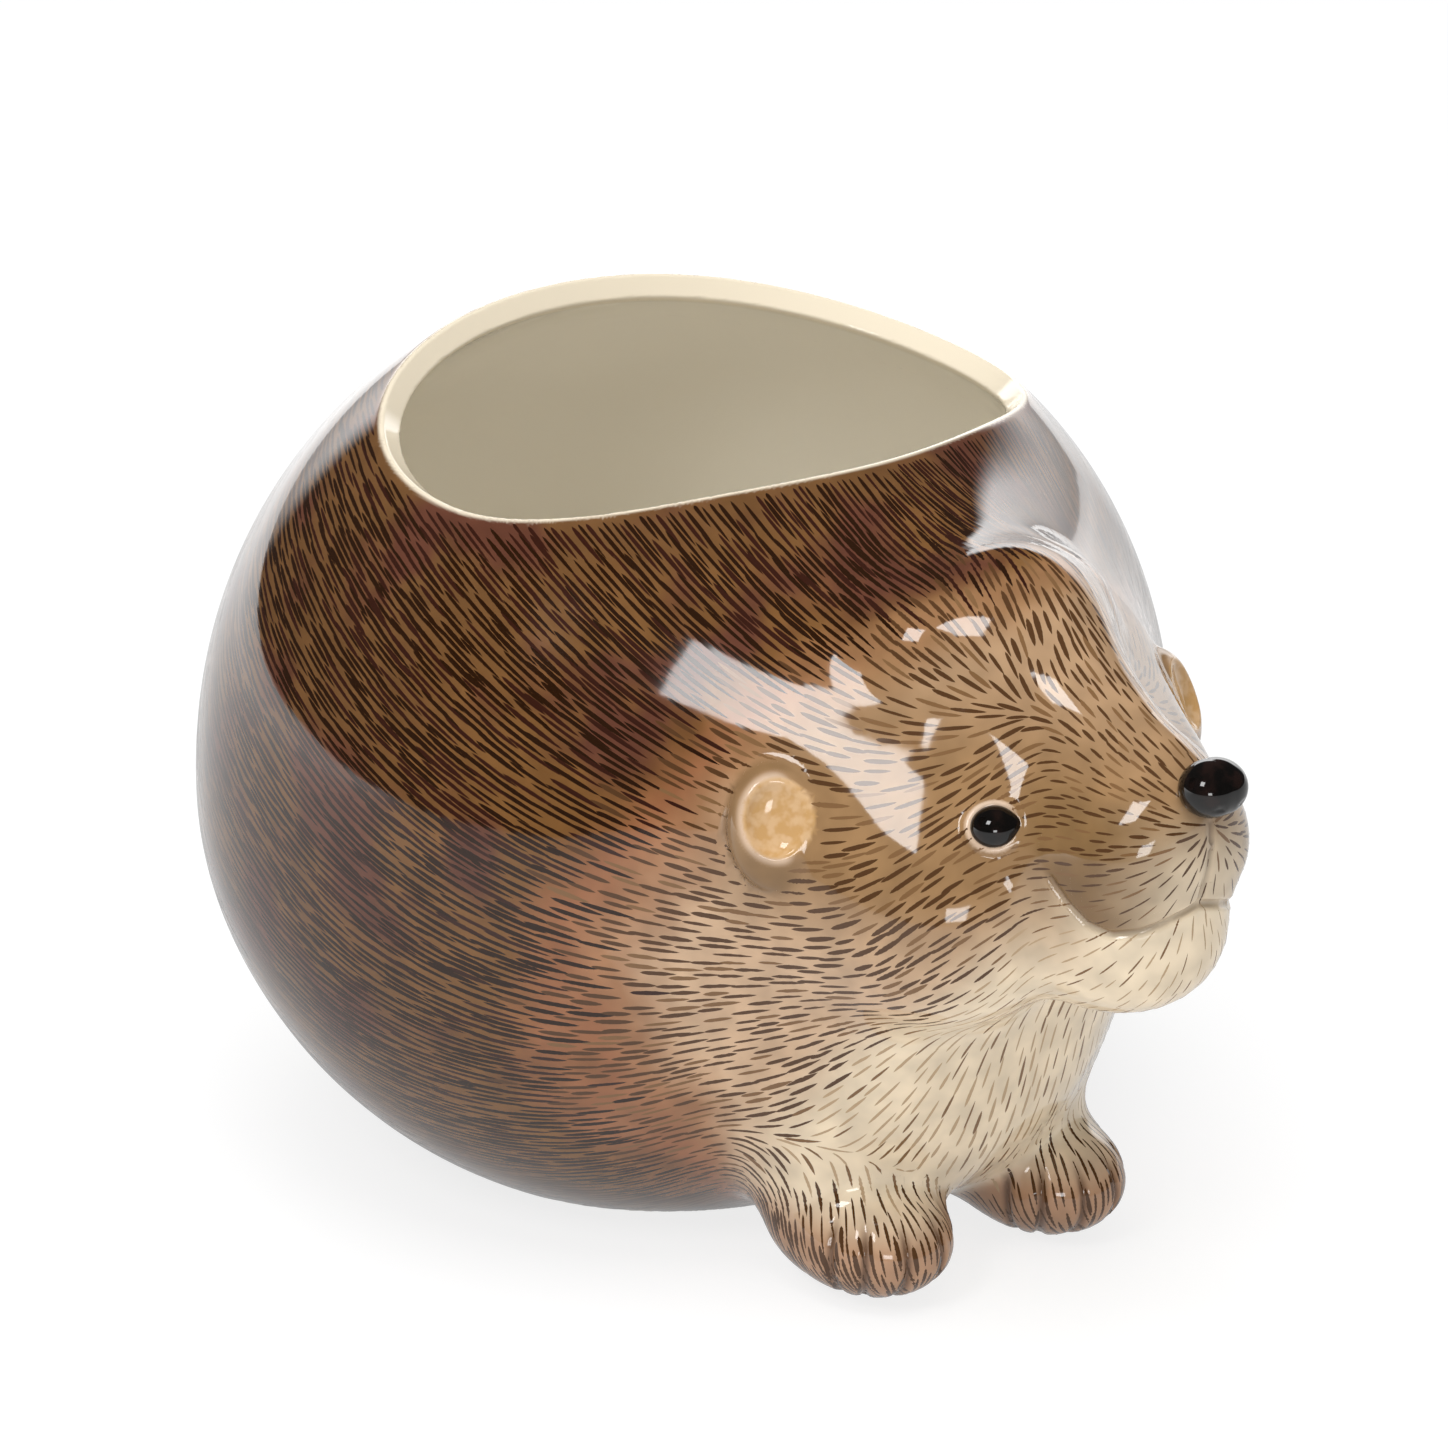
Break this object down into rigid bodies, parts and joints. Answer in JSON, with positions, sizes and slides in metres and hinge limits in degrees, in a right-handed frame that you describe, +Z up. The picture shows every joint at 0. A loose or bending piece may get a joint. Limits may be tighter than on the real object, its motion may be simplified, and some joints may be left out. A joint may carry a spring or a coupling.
{
  "type": "hedgehog vase",
  "caption": "Round glazed earthenware vase shaped as a standing hedgehog, open at the back for flowers, with face, ears and front paws.",
  "frame": {"origin": "middle of the flat foot, on the plane the vase stands on", "axes": "+Z up, the nose points along -Y, the animal's right side is at -X"},
  "size_m": [0.161, 0.2054, 0.1276],
  "materials": {
    "coat_glaze": "painted brown coat under clear gloss glaze, cream inside",
    "face_glaze": "painted beige face under clear gloss glaze",
    "black_glaze": "black gloss glaze",
    "ear_glaze": "golden buff under clear gloss glaze",
    "leg_glaze": "cream to brown under clear gloss glaze"
  },
  "bodies": {
    "root": {"body_shell": "coat_glaze", "head": "face_glaze", "nose": "black_glaze", "right_eye": "black_glaze", "left_eye": "black_glaze", "right_ear": "ear_glaze", "left_ear": "ear_glaze", "right_foreleg": "leg_glaze", "left_foreleg": "leg_glaze"}
  },
  "joints": []
}
